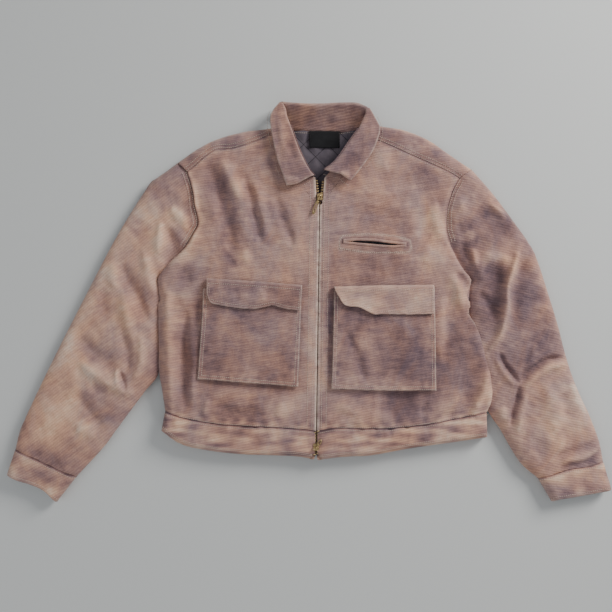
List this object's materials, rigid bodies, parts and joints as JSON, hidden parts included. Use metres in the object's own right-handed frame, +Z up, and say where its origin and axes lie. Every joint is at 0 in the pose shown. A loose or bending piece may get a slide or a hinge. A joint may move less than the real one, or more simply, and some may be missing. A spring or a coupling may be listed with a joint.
{
  "type": "work jacket",
  "caption": "Zip-front work jacket of faded cotton twill with quilted lining, flap pockets and a turned-down collar, lying flat and closed.",
  "frame": {"origin": "on the surface the jacket lies on, under the middle of its outline", "axes": "+Z up from that surface, +Y towards the collar, +X towards the wearer's left sleeve"},
  "size_m": [1.12, 0.753, 0.039],
  "materials": {
    "canvas": "faded cotton twill, washed and worn light at seams and folds",
    "lining": "dusky purple-grey quilted lining with dark thread",
    "batting": "loose white batting",
    "label": "plain black woven label, left blank",
    "zip_tape": "woven cotton tape",
    "zip_metal": "aged brass",
    "hook_loop": "hook-and-loop patch"
  },
  "bodies": {
    "shell": {"back_panel": "canvas", "back_batting": "batting", "back_lining": "lining", "waistband_back": "canvas", "side_seam_left": "canvas", "side_seam_right": "canvas", "yoke_left": "canvas", "yoke_right": "canvas", "front_side_left": "canvas", "front_side_right": "canvas", "front_side_lining_left": "lining", "front_side_lining_right": "lining", "sleeve_head_left": "canvas", "sleeve_head_right": "canvas", "collar_back": "canvas", "neck_label": "label"},
    "front_left_part": {"front_panel_left": "canvas", "front_lining_left": "lining", "front_facing_left": "canvas", "waistband_left": "canvas", "zip_tape_left": "zip_tape", "zip_teeth_left": "zip_metal", "pocket_front_left": "canvas", "pocket_gusset_left": "canvas", "pocket_loop_left": "hook_loop", "collar_stand_left": "canvas"},
    "front_right_part": {"front_panel_right": "canvas", "front_lining_right": "lining", "front_facing_right": "canvas", "waistband_right": "canvas", "zip_tape_right": "zip_tape", "zip_teeth_right": "zip_metal", "pocket_front_right": "canvas", "pocket_gusset_right": "canvas", "pocket_loop_right": "hook_loop", "collar_stand_right": "canvas", "chest_welt": "canvas", "chest_pocket_bag": "lining"},
    "slider_top_part": {"zip_slider_top": "zip_metal"},
    "pull_top_part": {"zip_pull_top": "zip_metal"},
    "slider_bottom_part": {"zip_slider_bottom": "zip_metal"},
    "pull_bottom_part": {"zip_pull_bottom": "zip_metal"},
    "flap_left_part": {"flap_left": "canvas", "flap_hook_left": "hook_loop"},
    "flap_right_part": {"flap_right": "canvas", "flap_hook_right": "hook_loop"},
    "collar_left_part": {"collar_leaf_left": "canvas"},
    "collar_right_part": {"collar_leaf_right": "canvas"},
    "sleeve_left_part": {"sleeve_upper_left": "canvas", "sleeve_under_left": "canvas", "sleeve_seams_left": "canvas", "cuff_left": "canvas"},
    "sleeve_right_part": {"sleeve_upper_right": "canvas", "sleeve_under_right": "canvas", "sleeve_seams_right": "canvas", "cuff_right": "canvas"}
  },
  "joints": [
    {"name": "zip_top_slide", "type": "slide", "parent": "front_right_part", "child": "slider_top_part", "axis": [0, 1, 0], "range_m": [-0.395, 0], "deforming": ["zip_teeth_left", "zip_teeth_right"]},
    {"name": "zip_bottom_slide", "type": "slide", "parent": "front_right_part", "child": "slider_bottom_part", "axis": [0, 1, 0], "range_m": [0, 0.12], "deforming": ["zip_teeth_left", "zip_teeth_right"]},
    {"name": "front_left_fold", "type": "hinge", "parent": "shell", "child": "front_left_part", "pos_m": [-0.213, 0.0455, 0.025], "axis": [-0.3958, -0.9183, 0], "range_deg": [0, 110.5]},
    {"name": "front_right_fold", "type": "hinge", "parent": "shell", "child": "front_right_part", "pos_m": [0.248, 0.0405, 0.025], "axis": [-0.3659, 0.9306, 0], "range_deg": [0, 110.5]},
    {"name": "pull_top_swing", "type": "hinge", "parent": "slider_top_part", "child": "pull_top_part", "pos_m": [0.012, 0.1995, 0.0292], "axis": [-1, 0, 0], "range_deg": [0, 150]},
    {"name": "pull_bottom_swing", "type": "hinge", "parent": "slider_bottom_part", "child": "pull_bottom_part", "pos_m": [0.012, -0.2675, 0.0292], "axis": [1, 0, 0], "range_deg": [0, 150]},
    {"name": "flap_left_lift", "type": "hinge", "parent": "front_left_part", "child": "flap_left_part", "pos_m": [-0.195, 0.0415, 0.0294], "axis": [-0.9984, 0.0564, 0], "range_deg": [0, 110]},
    {"name": "flap_right_lift", "type": "hinge", "parent": "front_right_part", "child": "flap_right_part", "pos_m": [0.041, 0.0295, 0.0294], "axis": [-0.9995, -0.0324, 0], "range_deg": [0, 110]},
    {"name": "collar_left_lift", "type": "hinge", "parent": "front_left_part", "child": "collar_left_part", "pos_m": [0.001, 0.2365, 0.036], "axis": [-0.4545, 0.8908, 0], "range_deg": [0, 100]},
    {"name": "collar_right_lift", "type": "hinge", "parent": "front_right_part", "child": "collar_right_part", "pos_m": [0.023, 0.247, 0.036], "axis": [-0.5719, -0.8203, 0], "range_deg": [0, 100]},
    {"name": "sleeve_left_fold", "type": "hinge", "parent": "shell", "child": "sleeve_left_part", "pos_m": [-0.292, 0.0005, 0.03], "axis": [0, 1, 0], "range_deg": [0, 120]},
    {"name": "sleeve_right_fold", "type": "hinge", "parent": "shell", "child": "sleeve_right_part", "pos_m": [0.342, 0.0005, 0.03], "axis": [0, -1, 0], "range_deg": [0, 120]}
  ],
  "couplings": [
    {"joint": "front_left_fold", "follows": "zip_top_slide", "rad_per_m": -4.8604},
    {"joint": "front_right_fold", "follows": "zip_top_slide", "rad_per_m": -4.8604}
  ]
}
